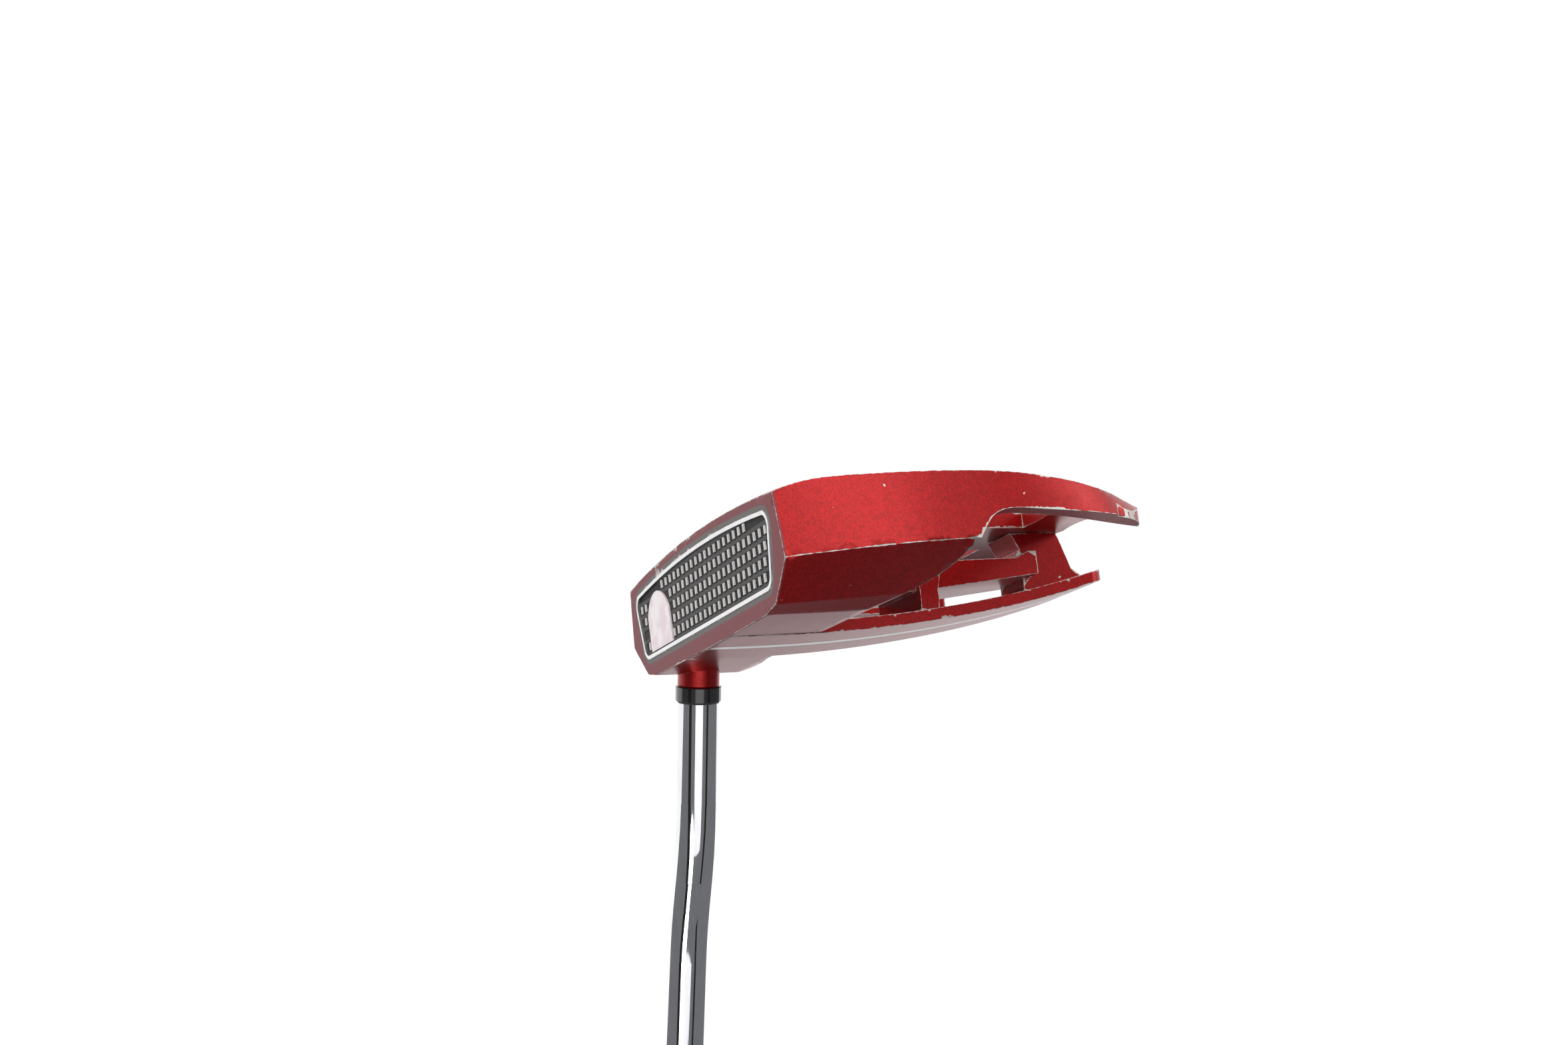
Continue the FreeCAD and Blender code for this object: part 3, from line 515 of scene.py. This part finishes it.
# %% [markdown]
# The grip is rubber with a net of shallow grooves, drawn with bump on a smooth sleeve, with painted
# shade darkening the grooves. The net is two sets of slanting waves that cross: one
# climbs to the left as it goes up the grip, the other to the right, and the higher of the two is the
# rubber that is left standing. The cap has the same rubber without the net.

# %% Grip
NET_PITCH = 4.2 * MM

net_rubber = Recipe("grip_net_rubber", Specular_IOR_Level=0.4)
up = net_rubber.along(butt_axis) * (2 * pi / NET_PITCH)
around = net_rubber.axis("Y") * (2 * pi / NET_PITCH)
rising = net_rubber.function("SINE", up + around)
falling = net_rubber.function("SINE", up - around)
lozenge = net_rubber.soft_step(net_rubber.function("MAXIMUM", rising, falling), 0.1, 0.6)
dust = net_rubber.noise(2.5, 5)
net_rubber.feed(
    # Painted shade: the grooves between the lozenges are darker than the standing rubber.
    Base_Color=net_rubber.mix(lozenge, colour(0.010, 0.010, 0.011), colour(0.030, 0.030, 0.032)),
    Roughness=0.58 + 0.25 * dust,
    Normal=net_rubber.bump(lozenge + 0.1 * dust, 0.35, 0.8),
)
finish_node("grip_sleeve", net_rubber)
cap_rubber = mottled(
    "cap_rubber", colour(0.012, 0.012, 0.013), colour(0.030, 0.030, 0.032), 1.2, Roughness=0.62)
finish_node("grip_cap", cap_rubber)
print("grip done")

# %% [markdown]
# The club hangs in front of a plain white sweep: a floor that turns up into a wall behind it, well
# away from the head so that no shadow reaches it. The sweep is one strip carried sideways: its
# profile is a straight floor, a quarter circle and a straight wall. Two black cards and a white one
# stand beside and behind the camera, because a plated shaft looks like whatever is round it. They
# suit this camera only: from other sides they are in the picture.

# %% Sweep
FLOOR_LEVEL = -0.75
SWEEP_RADIUS = 1.2
WALL_AT = 3.2


def grid_mesh(name, across, along):
    """A mesh from two arrays of points, the profile and its offsets, as a grid of four-sided faces."""
    places = (along[:, None, :] + across[None, :, :]).reshape(-1, 3)
    wide = len(across)
    corner = np.arange((len(along) - 1) * wide).reshape(-1, wide)[:, :-1].ravel()
    faces = np.stack([corner, corner + 1, corner + wide + 1, corner + wide], axis=1)
    mesh = bpy.data.meshes.new(name)
    mesh.from_pydata(places.tolist(), [], faces.tolist())
    mesh.polygons.foreach_set("use_smooth", [True] * len(mesh.polygons))
    return mesh


turn = np.linspace(0, pi / 2, 25)
arc = np.stack([WALL_AT - SWEEP_RADIUS + SWEEP_RADIUS * np.sin(turn), 0 * turn,
                FLOOR_LEVEL + SWEEP_RADIUS * (1 - np.cos(turn))], axis=1)
floor_start = np.array([[-12.0, 0.0, FLOOR_LEVEL]])
wall_top = np.array([[WALL_AT, 0.0, 0.62]])
sides = np.array([[0.0, -12.0, 0.0], [0.0, 12.0, 0.0]])
sweep_mesh = grid_mesh("sweep", sides, np.concatenate([floor_start, arc, wall_top]))
sweep = bpy.data.objects.new("sweep", sweep_mesh)
bpy.context.collection.objects.link(sweep)
card_height = np.array([[0.0, 0.0, -0.6], [0.0, 0.0, 1.2]])
card_spans = {
    "dark_card_face_side": ((-0.50, -0.85, 0.0), (-0.25, -0.95, 0.0)),
    "dark_card_tail_side": ((-0.75, 0.50, 0.0), (-0.66, 0.68, 0.0)),
    "white_card": ((-0.95, -0.70, 0.0), (-1.10, 0.20, 0.0)),
}
cards = []
for name, span in card_spans.items():
    card_mesh = grid_mesh(name, np.array(span), card_height)
    cards.append(bpy.data.objects.new(card_mesh.name, card_mesh))
    bpy.context.collection.objects.link(cards[-1])
card_felt = Recipe("card_felt", Roughness=1.0)
felt_tone = card_felt.mix(card_felt.noise(3, 2), colour(0.01, 0.01, 0.01), colour(0.02, 0.02, 0.02))
card_felt.feed(Base_Color=felt_tone)
for card in cards[:-1]:
    card.data.materials.append(card_felt.material)
paper = Recipe("sweep_paper", Roughness=0.9, Emission_Strength=0.80)
paper_tone = paper.mix(paper.noise(900, 1), colour(0.86, 0.86, 0.87), colour(0.90, 0.90, 0.90))
paper.feed(Base_Color=paper_tone, Emission_Color=paper_tone)
sweep_mesh.materials.append(paper.material)
cards[-1].data.materials.append(paper.material)
print("sweep points:", len(sweep_mesh.vertices))

# %% [markdown]
# The pale sweep and the white card give a broad soft light. Three small lamps on the sole's side
# shape the toe: a wide one for the whole side, one for the bend into the wing, and a warm
# one for the front corner. A fourth, high in the room, lights the crown and the white line.

# %% Light


def lamp(name, place, target, size, watts, tint=(1.0, 1.0, 1.0)):
    light = bpy.data.lights.new(name, "AREA")
    light.shape = "DISK"
    light.size = size
    light.energy = watts
    light.color = tint
    holder = bpy.data.objects.new(name, light)
    holder.location = place
    holder.rotation_euler = (Vector(target) - Vector(place)).to_track_quat("-Z", "Y").to_euler()
    holder.visible_camera = False
    bpy.context.collection.objects.link(holder)


HEAD_MIDDLE = (0.0, 0.02, 0.012)
lamp("sole_side_lamp", (-0.75, -0.10, -0.62), HEAD_MIDDLE, 0.6, 1.0)
lamp("bend_lamp", (-0.45, 0.75, -0.30), HEAD_MIDDLE, 0.4, 1.1)
lamp("corner_lamp", (-0.45, -0.70, -0.40), HEAD_MIDDLE, 0.3, 1.0, (1.0, 0.62, 0.25))
lamp("room_lamp", (-1.2, -1.6, 2.0), (0.15, 0, 0.4), 1.4, 26)

world = bpy.data.worlds.new("room")
world.use_nodes = True
world.node_tree.nodes["Background"].inputs["Color"].default_value = colour(0.92, 0.94, 1.0)
world.node_tree.nodes["Background"].inputs["Strength"].default_value = 0.20
bpy.context.scene.world = world
bpy.context.scene.view_settings.view_transform = "Standard"
print("lamps:", len(bpy.data.lights))

# %% [markdown]
# The club is seen from the toe, a little in front of the face and a little above the crown, and it is
# held head up, so the camera is rolled over. The three rows below are the camera's right, its down
# and the way it looks, and the place is where it stands, in metres.

# %% Camera
SENSOR = 36.0
FOCAL = 44.685
CAMERA_PLACE = (-0.3776, -0.1438, 0.0881)
RIGHT = Vector((-0.3512, 0.9318, 0.0916)).normalized()
LOOK = Vector((0.9075, 0.3628, -0.2117)).normalized()
DOWN = LOOK.cross(RIGHT)

camera = bpy.data.objects.new("camera", bpy.data.cameras.new("camera"))
turned_to = Matrix((RIGHT, -DOWN, -LOOK)).transposed()
camera.matrix_world = Matrix.Translation(CAMERA_PLACE) @ turned_to.to_4x4()
camera.data.lens = FOCAL
camera.data.sensor_width = SENSOR
camera.data.clip_start = 0.01
camera.data.clip_end = 60
bpy.context.collection.objects.link(camera)
bpy.context.scene.camera = camera
print("camera looks", [round(v, 2) for v in LOOK])
